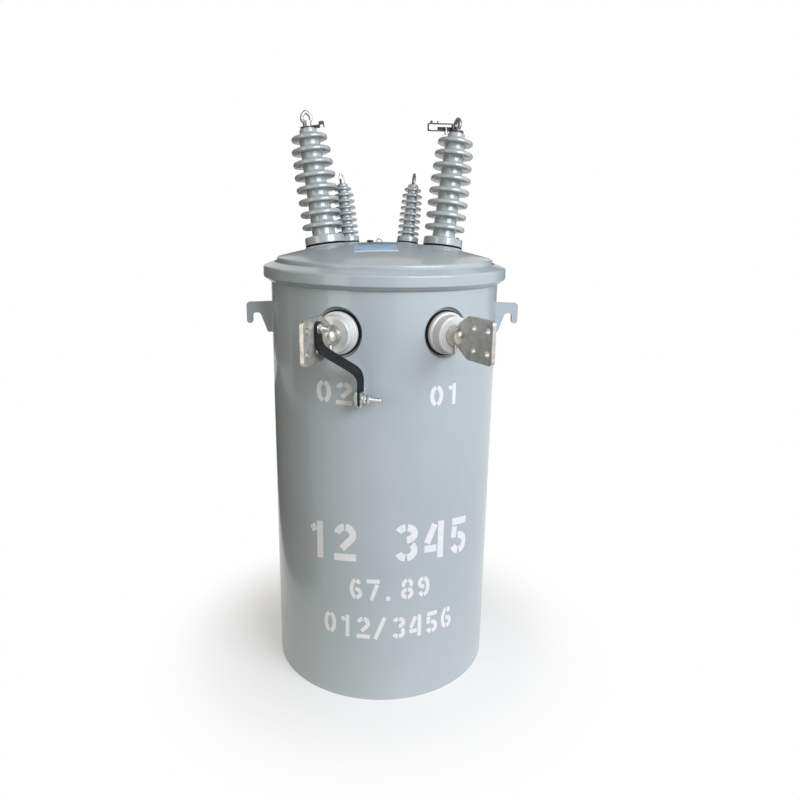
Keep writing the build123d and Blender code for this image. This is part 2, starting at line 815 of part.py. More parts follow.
with BuildPart() as neutral_strap:
    with BuildSketch(strap_plane):
        with BuildLine():
            FilletPolyline(
                (strap_upper_offset, strap_top + strap_end_margin),
                (strap_upper_offset, strap_knee_high),
                (strap_offset, strap_knee_low),
                (strap_offset, ground_height - strap_end_margin),
                radius=[strap_bend, strap_bend],
            )
            offset(amount=strap_sheet / 2)
        make_face()
    extrude(amount=2 * tank_radius)
    with BuildSketch(blade_plane):
        with BuildLine():
            half_width = strap_width / 2
            FilletPolyline(
                (pad_hole_in + half_width, strap_top + strap_end_margin),
                (pad_hole_in + half_width, strap_knee_high - strap_slant),
                (strap_lower_reach + half_width, strap_knee_low - strap_slant),
                (strap_lower_reach + half_width, ground_height - strap_end_margin),
                (strap_lower_reach - half_width, ground_height - strap_end_margin),
                (strap_lower_reach - half_width, strap_knee_low + strap_slant),
                (pad_hole_in - half_width, strap_knee_high + strap_slant),
                (pad_hole_in - half_width, strap_top + strap_end_margin),
                radius=strap_corners,
                close=True,
            )
        make_face()
        with Locations((pad_hole_in, strap_top)):
            Circle(pad_hole / 2, mode=Mode.SUBTRACT)
        with Locations((strap_lower_reach, ground_height)):
            Circle(ground_hole, mode=Mode.SUBTRACT)
    extrude(amount=3 * strap_offset, both=True, mode=Mode.INTERSECT)
finish(neutral_strap.part, "neutral_strap")

strap_face = strap_upper_offset + strap_sheet / 2
strap_head = -pad_thickness / 2 - bolt_head
strap_heads = [(strap_head, bolt_head, bolt_flats), (strap_face, bolt_nut, bolt_flats)]
strap_shank = (-pad_thickness / 2, strap_face + bolt_nut + strap_bolt_tail)
strap_bolt_start = tuple(beside_blade(pad_hole_in, 0, strap_top))
strap_bolt = bolt(strap_bolt_start, left_side, bolt_size, strap_shank, strap_heads, (0, 0, 1))
finish(strap_bolt, "strap_bolt")

ground_left = strap_offset - strap_sheet / 2 - ground_tab_thickness
ground_right = strap_offset + strap_sheet / 2
ground_tab_end = strap_lower_reach + ground_tab_margin
ground_tab_foot = ground_height - ground_tab_height / 2
ground_tab_top = ground_height + ground_tab_height / 2
ground_tab_plane = Plane(origin=beside_blade(0, ground_left, 0), x_dir=left_out, z_dir=blade_plane.z_dir)
with BuildPart() as ground_tab:
    with BuildSketch(ground_tab_plane):
        with BuildLine():
            FilletPolyline(
                (tank_radius - ground_tab_height, ground_tab_foot),
                (ground_tab_end, ground_tab_foot),
                (ground_tab_end, ground_tab_top),
                (tank_radius - ground_tab_height, ground_tab_top),
                radius=[root_radius, ground_tab_corner, ground_tab_corner, root_radius],
                close=True,
            )
        make_face()
        with Locations((strap_lower_reach, ground_height)):
            Circle(ground_hole, mode=Mode.SUBTRACT)
    extrude(amount=-ground_tab_thickness)
    with BuildSketch():
        Circle(tank_radius + seat_gap)
    extrude(amount=tank_height, mode=Mode.SUBTRACT)
finish(ground_tab.part, "ground_tab")

with BuildPart() as ground_lug:
    lug_origin = beside_blade(strap_lower_reach, ground_right, ground_height - ground_lug_drop)
    with BuildSketch(Plane(origin=lug_origin, x_dir=(0, 0, 1), z_dir=left_side)):
        RectangleRounded(ground_lug_height, ground_lug_width, ground_lug_corner)
        with Locations((ground_lug_drop, 0)):
            Circle(ground_hole, mode=Mode.SUBTRACT)
    extrude(amount=ground_lug_sheet)
finish(ground_lug.part, "ground_lug")

ground_head = ground_left - ground_bolt_head
ground_heads = [
    (ground_head, ground_bolt_head, ground_bolt_flats),
    (ground_right + ground_lug_sheet, ground_bolt_nut, ground_bolt_flats),
    (ground_right + ground_locknut_place, ground_bolt_locknut, ground_bolt_flats),
]
ground_shank = (ground_head, ground_right + ground_bolt_reach)
ground_start = tuple(beside_blade(strap_lower_reach, 0, ground_height))
ground_bolt = bolt(ground_start, left_side, ground_bolt_size, ground_shank, ground_heads, (0, 0, 1))
finish(ground_bolt, "ground_bolt")

# ---------------------------------------------------------------- lifting lugs
lug_tip = lug_reach - lug_tip_width
lug_tip_foot = lug_top - lug_tip_drop
lug_slot_top = lug_tip_foot + lug_slot_rise

lug_root = tank_radius - root_depth
lug_tip_corner = 0.45 * lug_tip_width
lug_outline = [
    (lug_root, lug_top),
    (lug_reach, lug_top - lug_top_slope),
    (lug_reach, lug_tip_foot),
    (lug_tip, lug_tip_foot),
    (lug_tip, lug_slot_top),
    (lug_tip - lug_slot_width, lug_slot_top),
    (tank_radius + lug_foot_width, lug_foot),
    (lug_root, lug_foot),
]
lug_corners = [0, lug_corner, lug_tip_corner, lug_tip_corner, lug_corner, lug_corner, lug_foot_corner, 0]

for side, sign in (("left", -1), ("right", 1)):
    with BuildPart() as lifting_lug:
        with BuildSketch(Plane.XZ):
            with BuildLine():
                FilletPolyline(*[(sign * x, z) for x, z in lug_outline], radius=lug_corners, close=True)
            make_face()
        extrude(amount=lug_thickness / 2, both=True)
        with BuildSketch():
            Circle(tank_radius + seat_gap)
        extrude(amount=tank_height, mode=Mode.SUBTRACT)
    finish(lifting_lug.part, f"lifting_lug_{side}")

# ---------------------------------------------------------------- pole brackets
bracket_heights = {"lower": bracket_lower_height, "upper": bracket_lower_height + bracket_spacing}
bracket_root = tank_radius - bracket_width / 4
bracket_side = bracket_width / 2
bracket_inside = bracket_side - bracket_sheet
bracket_corners = [0, bracket_corner, bracket_corner, 0, 0, bracket_inner_corner, bracket_inner_corner, 0]

for level, height in bracket_heights.items():
    with BuildPart() as bracket:
        with BuildSketch(Plane.XY.offset(height - bracket_height / 2)):
            with BuildLine():
                FilletPolyline(
                    (-bracket_side, bracket_root),
                    (-bracket_side, bracket_face),
                    (bracket_side, bracket_face),
                    (bracket_side, bracket_root),
                    (bracket_inside, bracket_root),
                    (bracket_inside, bracket_face - bracket_sheet),
                    (-bracket_inside, bracket_face - bracket_sheet),
                    (-bracket_inside, bracket_root),
                    radius=bracket_corners,
                    close=True,
                )
            make_face()
        extrude(amount=bracket_height)
        with BuildSketch(Plane.XY.offset(height - bracket_height)):
            Circle(tank_radius + seat_gap)
        extrude(amount=2 * bracket_height, mode=Mode.SUBTRACT)
        with BuildSketch(Plane.XZ.offset(-bracket_face - overcut)):
            with Locations((0, height)):
                SlotOverall(bracket_slot_length, bracket_slot_width, rotation=90)
        extrude(amount=2 * bracket_sheet, mode=Mode.SUBTRACT)
    finish(bracket.part, f"pole_bracket_{level}")

# ---------------------------------------------------------------- clip on the left neck
def neck_hole(plane, side):
    """Outline of the hole that a high voltage eye's neck goes through, on the builder's plane."""
    with BuildSketch(eye_plane(plane, eye_turns[side])) as hole:
        Ellipse(eye_neck_radius + seat_gap, eye_neck_share * eye_neck_radius + seat_gap)
    return hole.sketch


with BuildPart() as hv_clip:
    clip_plane = bushing_plane(hv_places["left"], hv_top + cap_height + clip_sheet / 2)
    clip_fold = clip_reach - clip_hook_width
    with BuildSketch(clip_plane):
        with BuildLine():
            FilletPolyline(
                (-1.5 * eye_neck_radius, 0),
                (clip_fold, 0),
                (clip_fold, clip_hook_rise),
                (clip_reach, clip_hook_rise),
                (clip_reach, 0),
                radius=[1.5, 2, 2],
            )
            offset(amount=clip_sheet / 2)
        make_face()
    extrude(amount=clip_width / 2, both=True)
    extrude(neck_hole(clip_plane, "left"), amount=2 * clip_sheet, both=True, mode=Mode.SUBTRACT)
finish(hv_clip.part, "hv_clip")

# ---------------------------------------------------------------- arm on the right neck
# The arm is a channel that is open at the front, underneath and at its left end.
ring_plane = bushing_plane(hv_places["right"], hv_top + cap_height)
arm_origin = bushing_plane(hv_places["right"], hv_top + arm_rise).origin
arm_back = Plane(origin=arm_origin, x_dir=(-1, 0, 0), z_dir=(0, 1, 0)).offset(arm_width / 2)
arm_floor = Plane(origin=arm_origin, x_dir=(-1, 0, 0), z_dir=(0, 0, 1))
arm_front = arm_back.offset(arm_block_inset - arm_width)
arm_mouth = arm_length + overcut
arm_ceiling = arm_height - arm_sheet
arm_rail_foot = arm_ceiling - arm_rail_height
arm_block_end = arm_length - arm_block_inset
arm_block_start = arm_block_end - arm_block
arm_block_depth = arm_width - arm_block_inset - arm_sheet

with BuildPart() as hv_arm:
    with BuildSketch(arm_back):
        with BuildLine():
            FilletPolyline(
                (arm_length, 0),
                (arm_length, arm_height),
                (arm_start, arm_height),
                (arm_start, 0),
                radius=[3.5, 0.8, 4.5, 2],
                close=True,
            )
        make_face()
    extrude(amount=-arm_width)
    with BuildSketch(arm_back.offset(-arm_sheet)):
        with BuildLine():
            FilletPolyline(
                (arm_mouth, -overcut),
                (arm_mouth, arm_ceiling),
                (arm_start + arm_sheet, arm_ceiling),
                (arm_start + arm_sheet, -overcut),
                radius=[0, 0, 2.5, 0],
                close=True,
            )
        make_face()
    extrude(amount=-arm_width, mode=Mode.SUBTRACT)
    with BuildSketch(across(ring_plane)):
        Circle(arm_ring_radius)
    extrude(amount=arm_ring_height)
    extrude(neck_hole(ring_plane, "right"), amount=arm_height, both=True, mode=Mode.SUBTRACT)
    with BuildSketch(arm_floor):
        with Locations((arm_bolt_place, 0)):
            Circle(arm_bolt_size / 2 + seat_gap)
    extrude(amount=2 * arm_height, mode=Mode.SUBTRACT)
finish(hv_arm.part, "hv_arm")

with BuildPart() as hv_arm_bolt:
    with BuildSketch(arm_front):
        with BuildLine():
            FilletPolyline(
                (arm_block_end, arm_block_foot),
                (arm_block_end, arm_ceiling),
                (arm_block_start, arm_ceiling),
                (arm_block_start, arm_block_foot),
                radius=[3.5, 0.5, 0.5, 1],
                close=True,
            )
        make_face()
    extrude(amount=arm_block_depth)
    with BuildSketch(arm_front):
        with BuildLine():
            Polyline(
                (arm_block_start + overcut, arm_rail_foot),
                (arm_block_start + overcut, arm_ceiling),
                (arm_start + 2 * arm_sheet, arm_ceiling),
                (arm_start + 2 * arm_sheet, arm_rail_foot),
                close=True,
            )
        make_face()
    extrude(amount=arm_rail_depth)
    with BuildSketch(arm_floor.offset(arm_height / 2)):
        with Locations((arm_bolt_place, 0)):
            Circle(arm_bolt_size / 2)
    extrude(amount=arm_height / 2)
    with BuildSketch(arm_floor.offset(arm_height)):
        with Locations((arm_bolt_place, 0)):
            RegularPolygon(arm_bolt_flats / 2, 6, major_radius=False)
    extrude(amount=arm_bolt_head)
finish(hv_arm_bolt.part, "hv_arm_bolt")

# The stud hangs from the rail, its outline given from its top downward.
arm_stud_y = arm_block_inset + (arm_rail_depth - arm_width) / 2
stud_top = arm_origin + Vector(-arm_stud_place, arm_stud_y, arm_rail_foot)
stud_outline = [
    (0, 0),
    (0.5 * arm_stud_radius, 0),
    (0.5 * arm_stud_radius, 0.25 * arm_stud_length),
    (arm_stud_radius, 0.5 * arm_stud_length),
    (arm_stud_radius, arm_stud_length),
    (0, arm_stud_length),
]
hv_arm_stud = turned(turning_plane(stud_top, (0, 0, -1), (1, 0, 0)), stud_outline, [0, 1, 0.5, 0.6])
finish(hv_arm_stud, "hv_arm_stud")

# ---------------------------------------------------------------- small parts on the cover
with BuildPart() as cover_plug:
    plug_from_axis = sqrt(plug_place[0] ** 2 + plug_place[1] ** 2)
    with BuildSketch(Plane.XY.offset(dome_z(plug_from_axis - plug_radius) + foot_clearance)):
        with Locations(plug_place):
            Circle(plug_radius)
    extrude(amount=plug_height)
    fillet(cover_plug.faces().sort_by(Axis.Z)[-1].edges(), 0.3 * plug_height)
finish(cover_plug.part, "cover_plug")

with BuildPart() as cover_eye:
    wing_from_axis = sqrt(wing_place[0] ** 2 + wing_place[1] ** 2)
    wing_foot = dome_z(wing_from_axis - wing_wire) + foot_clearance
    wing_middle = wing_foot + wing_leg
    with BuildSketch(Plane.XZ.offset(-wing_place[1])):
        with Locations((wing_place[0], wing_middle)):
            Circle(wing_radius)
            Circle(wing_radius - wing_wire, mode=Mode.SUBTRACT)
        with Locations((wing_place[0], wing_middle - wing_radius)):
            Rectangle(2 * wing_radius, 2 * wing_radius, mode=Mode.SUBTRACT)
        for side in (-1, 1):
            with Locations((wing_place[0] + side * (wing_radius - wing_wire / 2), wing_foot + wing_leg / 2)):
                Rectangle(wing_wire, wing_leg)
    extrude(amount=wing_wire / 2, both=True)
    fillet(cover_eye.edges(), 0.2 * wing_wire)
finish(cover_eye.part, "cover_eye")
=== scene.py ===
"""Looks for a pole mounted transformer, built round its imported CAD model.

Metres, +Z up, in the CAD's frame: the low voltage terminals face -Y.
"""

import json
from math import ceil, cos, hypot, pi, radians, sin, sqrt

import bmesh
import bpy
from mathutils import Matrix, Vector


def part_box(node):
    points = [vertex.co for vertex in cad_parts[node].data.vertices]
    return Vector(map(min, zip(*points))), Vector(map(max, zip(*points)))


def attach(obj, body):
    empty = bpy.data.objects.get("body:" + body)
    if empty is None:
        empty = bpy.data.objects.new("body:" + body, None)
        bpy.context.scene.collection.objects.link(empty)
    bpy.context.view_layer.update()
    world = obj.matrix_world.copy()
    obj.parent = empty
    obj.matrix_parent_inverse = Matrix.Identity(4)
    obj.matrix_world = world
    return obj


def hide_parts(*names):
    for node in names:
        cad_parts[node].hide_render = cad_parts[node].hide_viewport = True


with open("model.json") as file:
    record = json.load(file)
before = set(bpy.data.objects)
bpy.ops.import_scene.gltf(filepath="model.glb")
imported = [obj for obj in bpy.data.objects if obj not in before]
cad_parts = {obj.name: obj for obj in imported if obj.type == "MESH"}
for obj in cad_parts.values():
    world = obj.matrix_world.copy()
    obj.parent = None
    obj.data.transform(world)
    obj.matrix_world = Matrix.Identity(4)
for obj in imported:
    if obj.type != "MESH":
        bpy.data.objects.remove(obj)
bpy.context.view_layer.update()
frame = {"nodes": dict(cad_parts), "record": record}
nodes = frame["nodes"]
scene = bpy.context.scene
scene.view_settings.view_transform = "Standard"

# ---------------------------------------------------------------- camera
WALL_THICKNESS = 0.0032
TANK_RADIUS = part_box("tank_bottom")[1].x + WALL_THICKNESS
CAMERA_TURN = radians(-4.15)  # round the tank, from its front
CAMERA_YAW = radians(1.556)
CAMERA_PITCH = radians(14.387)
CAMERA_ROLL = radians(0.965)
CAMERA_DISTANCE = 6.288 * TANK_RADIUS
CAMERA_HEIGHT = 4.159 * TANK_RADIUS
CAMERA_LENS = 31.309
CAMERA_SHIFT = (-0.0025, -0.0085)


def add_camera():
    """Camera at the photograph's place and angle."""
    data = bpy.data.cameras.new("camera")
    data.sensor_width = 36.0
    data.lens = CAMERA_LENS
    data.shift_x, data.shift_y = CAMERA_SHIFT
    camera = bpy.data.objects.new("camera", data)
    scene.collection.objects.link(camera)
    turn = Matrix.Rotation(CAMERA_TURN, 3, "Z")
    forward = Vector(
        (
            sin(CAMERA_YAW) * cos(CAMERA_PITCH),
            cos(CAMERA_YAW) * cos(CAMERA_PITCH),
            -sin(CAMERA_PITCH),
        )
    )
    right = forward.cross(Vector((0, 0, 1))).normalized()
    up = right.cross(forward)
    right, up = (
        cos(CAMERA_ROLL) * right + sin(CAMERA_ROLL) * up,
        cos(CAMERA_ROLL) * up - sin(CAMERA_ROLL) * right,
    )
    place = Vector((0, -CAMERA_DISTANCE, CAMERA_HEIGHT))
    columns = [turn @ v for v in (right, up, -forward, place)]
    camera.matrix_world = Matrix([[v[i] for v in columns] for i in range(3)] + [[0, 0, 0, 1]])
    scene.camera = camera


add_camera()


# ---------------------------------------------------------------- materials
SOCKETS = {"specular_ior_level": "Specular IOR Level"}
LABEL_FRONT = -0.123  # the label's front edge, along Y
LABEL_STRIP = (0.007, 0.0085)  # where its white strip fades, from that edge
MIDDLING = (0.3, 0.7)  # the range that noise mostly keeps to
TARNISHED = (0.35, 0.7)


def shade(color, factor):
    return tuple(c * factor for c in color)


class Finish:
    """A material being made: a Principled shader and short calls for its nodes."""

    def __init__(self, name, color, **sockets):
        self.material = bpy.data.materials.new(name)
        self.material.use_nodes = True
        self.tree = self.material.node_tree
        self.shader = self.tree.nodes["Principled BSDF"]
        self.shader.inputs["Base Color"].default_value = (*color, 1)
        self.color = color
        for key, value in sockets.items():
            socket = SOCKETS.get(key, key.replace("_", " ").title())
            self.shader.inputs[socket].default_value = value
        self.place = self.node("ShaderNodeTexCoord").outputs["Object"]

    def node(self, kind, inputs=(), **settings):
        made = self.tree.nodes.new(kind)
        for key, value in settings.items():
            setattr(made, key, value)
        for name, value in dict(inputs).items():
            if isinstance(value, bpy.types.NodeSocket):
                self.tree.links.new(value, made.inputs[name])
            else:
                made.inputs[name].default_value = value
        return made

    def noise(self, size, detail=3.0, rough=0.5, warp=0.0):
        """Noise whose marks are about size metres across."""
        inputs = {
            "Vector": self.place,
            "Scale": 1 / size,
            "Detail": detail,
            "Roughness": rough,
            "Distortion": warp,
        }
        return self.node("ShaderNodeTexNoise", inputs).outputs["Fac"]

    def ramp(self, value, low, high, at=MIDDLING):
        """Value mapped smoothly from the range at onto low to high."""
        inputs = {"Value": value, "From Min": at[0], "From Max": at[1], "To Min": low, "To Max": high}
        kind = "SMOOTHSTEP"
        return self.node("ShaderNodeMapRange", inputs, interpolation_type=kind).outputs[0]

    def mix(self, share, a, b):
        """Colour a, and colour b where share is 1."""
        made = self.node("ShaderNodeMix", data_type="RGBA")
        for socket, value in ((made.inputs[0], share), (made.inputs[6], a), (made.inputs[7], b)):
            if isinstance(value, bpy.types.NodeSocket):
                self.tree.links.new(value, socket)
            else:
                socket.default_value = (*value, 1)
        return made.outputs[2]

    def patches(self, noise, first, second, at=MIDDLING):
        """Two shades of the finish's colour, the second where the noise is high."""
        share = self.ramp(noise, 0.0, 1.0, at)
        return self.mix(share, shade(self.color, first), shade(self.color, second))

    def link(self, socket, value):
        self.tree.links.new(value, self.shader.inputs[socket])

    def bump(self, layers, edge=0.0008):
        """Bump layers from coarse to fine: (height, distance in metres, strength).

        Edges look rounded to the radius edge.
        """
        normal = self.node("ShaderNodeBevel", {"Radius": edge}, samples=4).outputs[0]
        for height, distance, strength in layers:
            inputs = {"Height": height, "Distance": distance, "Strength": strength, "Normal": normal}
            normal = self.node("ShaderNodeBump", inputs).outputs[0]
        self.link("Normal", normal)


def tank_paint():
    f = Finish(
        "tank_paint",
        (0.43, 0.485, 0.51),
        coat_weight=0.45,
        coat_roughness=0.1,
        specular_ior_level=0.3,
    )
    f.link("Base Color", f.patches(f.noise(0.22, 4.0, 0.55), 0.965, 1.035))
    f.link("Roughness", f.ramp(f.noise(0.05, 4.0, 0.6), 0.3, 0.38))
    f.bump([(f.noise(0.05, 2.0), 0.002, 0.05), (f.noise(0.0022, 2.0), 0.0002, 0.08)], 0.0016)
    return f.material


def stencil_paint():
    f = Finish("stencil_paint", (0.82, 0.83, 0.83))
    f.link("Base Color", f.patches(f.noise(0.006, 5.0, 0.65), 1.03, 0.92, (0.3, 0.72)))
    f.link("Roughness", f.ramp(f.noise(0.004, 3.0), 0.4, 0.55))
    f.bump([(f.noise(0.0015, 3.0), 0.0001, 0.12)], 0.0002)
    return f.material


def label_film():
    """Blank pale blue label with a white strip along its front edge."""
    f = Finish("label_film", (0.36, 0.6, 0.9))
    y = f.node("ShaderNodeSeparateXYZ", {0: f.place}).outputs[1]
    fade = tuple(LABEL_FRONT + inset for inset in LABEL_STRIP)
    strip = f.ramp(y, 1.0, 0.0, fade)
    blue = f.patches(f.noise(0.03, 2.0), 1.12, 0.86, (0.35, 0.75))
    f.link("Base Color", f.mix(strip, blue, (0.85, 0.87, 0.9)))
    f.link("Roughness", f.ramp(f.noise(0.01, 3.0), 0.3, 0.42))
    f.bump([(f.noise(0.012, 2.0), 0.0003, 0.1)], 0.0002)
    return f.material


def grey_porcelain():
    f = Finish("grey_porcelain", (0.42, 0.45, 0.45), coat_weight=0.6, coat_roughness=0.05)
    f.link("Base Color", f.patches(f.noise(0.02, 4.0, 0.6), 0.95, 1.05))
    f.link("Roughness", f.ramp(f.noise(0.01, 3.0), 0.14, 0.24))
    f.bump([(f.noise(0.009, 2.0), 0.001, 0.05)])
    return f.material


def white_porcelain():
    f = Finish("white_porcelain", (0.66, 0.66, 0.645), coat_weight=0.5, coat_roughness=0.06)
    f.link("Base Color", f.patches(f.noise(0.015, 4.0), 0.95, 1.04))
    f.link("Roughness", f.ramp(f.noise(0.01, 3.0), 0.16, 0.25))
    f.bump([(f.noise(0.006, 2.0), 0.0008, 0.05)])
    return f.material


def rubber():
    f = Finish("rubber", (0.008, 0.008, 0.009), specular_ior_level=0.12)
    f.link("Roughness", f.ramp(f.noise(0.004, 3.0), 0.5, 0.7))
    f.bump([(f.noise(0.001, 2.0), 0.0002, 0.3)])
    return f.material


def tinned_metal():
    f = Finish("tinned_metal", (0.53, 0.515, 0.48), metallic=0.9)
    tarnish = f.noise(0.012, 5.0, 0.65, warp=0.4)
    f.link("Base Color", f.patches(tarnish, 1.12, 0.78, TARNISHED))
    f.link("Roughness", f.ramp(f.noise(0.006, 4.0, 0.6), 0.34, 0.5))
    f.bump([(f.noise(0.0035, 3.0), 0.0004, 0.12), (f.noise(0.0009, 2.0), 0.00012, 0.2)])
    return f.material


def eye_metal():
    """The tinned metal of the eyes, in a darker base colour that is painted shade for the dark
    surroundings the eyes reflect.
    """
    f = Finish("eye_metal", (0.34, 0.33, 0.31), metallic=0.9)
    tarnish = f.noise(0.006, 5.0, 0.65, warp=0.4)
    f.link("Base Color", f.patches(tarnish, 1.3, 0.6, TARNISHED))
    f.link("Roughness", f.ramp(f.noise(0.004, 4.0, 0.6), 0.28, 0.42))
    f.bump([(f.noise(0.003, 3.0), 0.0003, 0.15), (f.noise(0.0008, 2.0), 0.0001, 0.2)], 0.0005)
    return f.material


# The very dark base colour is painted shade: it stands for the shaded inside of the arm's channel and
# the dark surroundings the arm reflects. The patches are tarnish.
def aged_metal():
    f = Finish("aged_metal", (0.085, 0.085, 0.083), metallic=0.6)
    tarnish = f.noise(0.008, 5.0, 0.65, warp=0.4)
    f.link("Base Color", f.patches(tarnish, 1.35, 0.6, TARNISHED))
    f.link("Roughness", f.ramp(f.noise(0.004, 4.0, 0.6), 0.32, 0.5))
    f.bump([(f.noise(0.003, 3.0), 0.0003, 0.15), (f.noise(0.0008, 2.0), 0.0001, 0.2)], 0.0005)
    return f.material


def bolt_steel():
    f = Finish("bolt_steel", (0.6, 0.6, 0.58), metallic=1.0)
    f.link("Base Color", f.patches(f.noise(0.004, 4.0), 1.1, 0.8))
    f.link("Roughness", f.ramp(f.noise(0.002, 3.0), 0.29, 0.44))
    f.bump([(f.noise(0.0012, 2.0), 0.00015, 0.2)])
    return f.material


def strap_sleeve():
    f = Finish("strap_sleeve", (0.006, 0.006, 0.0065), specular_ior_level=0.18)
    f.link("Roughness", f.ramp(f.noise(0.006, 4.0), 0.34, 0.5))
    f.bump([(f.noise(0.004, 3.0), 0.0005, 0.12), (f.noise(0.0008, 2.0), 0.0001, 0.15)])
    return f.material


def plug_plastic():
    f = Finish("plug_plastic", (0.014, 0.014, 0.015))
    f.link("Roughness", f.ramp(f.noise(0.002, 3.0), 0.35, 0.5))
    f.bump([(f.noise(0.0008, 2.0), 0.0001, 0.15)])
    return f.material


makers = (
    tank_paint,
    stencil_paint,
    label_film,
    grey_porcelain,
    white_porcelain,
    rubber,
    tinned_metal,
    eye_metal,
    aged_metal,
    bolt_steel,
    strap_sleeve,
    plug_plastic,
)
finishes = {maker.__name__: maker() for maker in makers}
node_slots = {row["node"]: row["material_slot"] for row in frame["record"]["subparts"]}
for name, obj in nodes.items():
    obj.data.materials.clear()
    obj.data.materials.append(finishes["eye_metal" if "_eye" in name else node_slots[name]])


# ---------------------------------------------------------------- making pieces
def add_piece(name, bm, finish, stands_for=None, sharp=30.0):
    """Turn a bmesh into a piece of the object, smooth but for edges sharper than sharp."""
    bmesh.ops.recalc_face_normals(bm, faces=bm.faces)
    mesh = bpy.data.meshes.new(name)
    bm.to_mesh(mesh)
    bm.free()
    mesh.shade_smooth()
    mesh.set_sharp_from_angle(angle=radians(sharp))
    mesh.materials.append(finishes[finish])
    obj = bpy.data.objects.new(name, mesh)
    scene.collection.objects.link(obj)
    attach(obj, "root")
    if stands_for:
        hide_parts(stands_for)


def axes(origin, along, across):
    """Matrix at origin whose Z runs along, with X as near to across as it can be."""
    z = Vector(along).normalized()
    y = z.cross(Vector(across)).normalized()
    x = y.cross(z)
    return Matrix.Translation(Vector(origin)) @ Matrix((x, y, z)).transposed().to_4x4()


def join_rings(bm, rings):
    """Faces between rings of points, where a ring of one point is a closed end."""
    for lower, upper in zip(rings, rings[1:]):
        count = max(len(lower), len(upper))
        for i in range(count):
            j = (i + 1) % count
            below = [lower[k % len(lower)] for k in (i, j)]
            above = [upper[k % len(upper)] for k in (j, i)]
            corners = list(dict.fromkeys(below + above))
            if len(corners) > 2:
                bm.faces.new(corners)


def ring(bm, matrix, radii, height):
    """Ring of points about Z at a height, one for each of the radii."""
    turns = [2 * pi * i / len(radii) for i in range(len(radii))]
    places = [(r * cos(t), r * sin(t), height) for r, t in zip(radii, turns)]
    return [bm.verts.new(matrix @ Vector(place)) for place in places]


def lathe(bm, matrix, profile, segments=48):
    """Turned solid about Z from (radius, height) points that start and end on the axis."""
    rings = []
    for radius, height in profile:
        rings.append(ring(bm, matrix, [radius] * (segments if radius else 1), height))
    join_rings(bm, rings)


def hexagon(bm, matrix, start, end, flats):
    """Hexagon head or nut along Z whose corners are chamfered at both ends."""
    segments = 72
    chamfer = 0.12 * flats
    inner = flats / 2 * 0.96
    outer = flats / 2 / cos(pi / 6)
    steps = [0.0, 0.35, 0.7, 1.0]
    levels = [(start + chamfer * s, inner + (outer - inner) * s) for s in steps]
    levels += [(end - chamfer * s, inner + (outer - inner) * s) for s in reversed(steps)]
    sides = [(2 * pi * i / segments + pi / 6) % (pi / 3) - pi / 6 for i in range(segments)]
    rings = [ring(bm, matrix, [0], start)]
    for height, limit in levels:
        radii = [min(flats / 2 / cos(side), limit) for side in sides]
        rings.append(ring(bm, matrix, radii, height))
    rings.append(ring(bm, matrix, [0], end))
    join_rings(bm, rings)


def thread(radius, start, end, pitch):
    """Profile of a threaded shank from start to end, with a chamfered end."""
    depth = 0.3 * pitch
    points = [(0, start), (radius - depth, start)]
    for i in range(1, int((end - start) / pitch)):
        height = start + i * pitch
        points += [(radius, height), (radius - depth, height + pitch / 2)]
    return points + [(radius - depth, end - depth), (radius - 3 * depth, end), (0, end)]


def washer(bm, matrix, start, end, radius):
    """Washer along Z with softened edges."""
    soft = 0.25 * (end - start)
    profile = [(0, start), (radius - soft, start), (radius, start + soft), (radius, end - soft)]
    lathe(bm, matrix, profile + [(radius - soft, end), (0, end)])


def reach(node, direction):
    """Lowest and highest place of a CAD node along a direction."""
    places = [v.co.dot(direction) for v in nodes[node].data.vertices]
    return min(places), max(places)


def middle_of(node):
    low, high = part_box(node)
    return (low + high) / 2


# ---------------------------------------------------------------- directions of the low voltage side
LV_TURN = radians(25.25)
UP = Vector((0, 0, 1))
DOWN = Vector((0, 0, -1))
lv_out = {
    "left": Vector((-sin(LV_TURN), -cos(LV_TURN), 0)),
    "right": Vector((sin(LV_TURN), -cos(LV_TURN), 0)),
}
lv_side = {
    "left": Vector((cos(LV_TURN), -sin(LV_TURN), 0)),
    "right": Vector((cos(LV_TURN), sin(LV_TURN), 0)),
}
lv_height = middle_of("lv_collar_left").z


# ---------------------------------------------------------------- bolts
PITCH = 0.0015
WASHER = 0.0013
SEAT = 0.0012  # from a washer's foot to its nut, which sinks in a little
NUT = 0.0084  # from a washer's foot to the far end of its nut
PAD_FACE = 0.0033  # the left pad's face, from its middle
STRAP_FACE = PAD_FACE + 0.0025
BAND_EAR = 0.012  # the outer face of the band's ears, from the gap's middle


def add_bolt(node, along, across, shank, head, nuts, washers):
    """Detailed bolt in place of a CAD one, all of it measured along the bolt.

    The head is (end, flats), a nut (start, end, flats) and a washer (start, end, radius).
    """
    low, high = reach(node, along)
    centre = middle_of(node)
    matrix = axes(centre - along * centre.dot(along), along, across)
    bm = bmesh.new()
    lathe(bm, matrix, thread(shank / 2, low, high, PITCH), 32)
    for start, end, flats in ((low, *head), *nuts):
        hexagon(bm, matrix, start, end, flats)
    for start, end, radius in washers:
        washer(bm, matrix, start, end, radius)
    add_piece(f"{node}_detail", bm, "bolt_steel", stands_for=node)


def add_clamp_bolt(node, along, across, low, high, radius):
    """Bolt whose head and nut clamp the faces at low and high, over washers."""
    head = (low - SEAT, 0.016)
    nut = (high + SEAT, high + NUT, 0.016)
    washers = [(low - WASHER, low, radius), (high, high + WASHER, radius)]
    add_bolt(node, along, across, 0.01, head, [nut], washers)


def add_ground_bolt():
    """Bolt through the ground tab, with its head on the tab and two nuts on the lug."""
    side = lv_side["left"]
    tab = reach("ground_tab", side)[0]
    lug = reach("ground_lug", side)[1]
    nuts = [(lug + SEAT, lug + 0.0075, 0.014), (lug + 0.009, lug + 0.014, 0.014)]
    washers = [(lug, lug + WASHER, 0.0076)]
    add_bolt("ground_bolt", side, UP, 0.009, (tab, 0.014), nuts, washers)


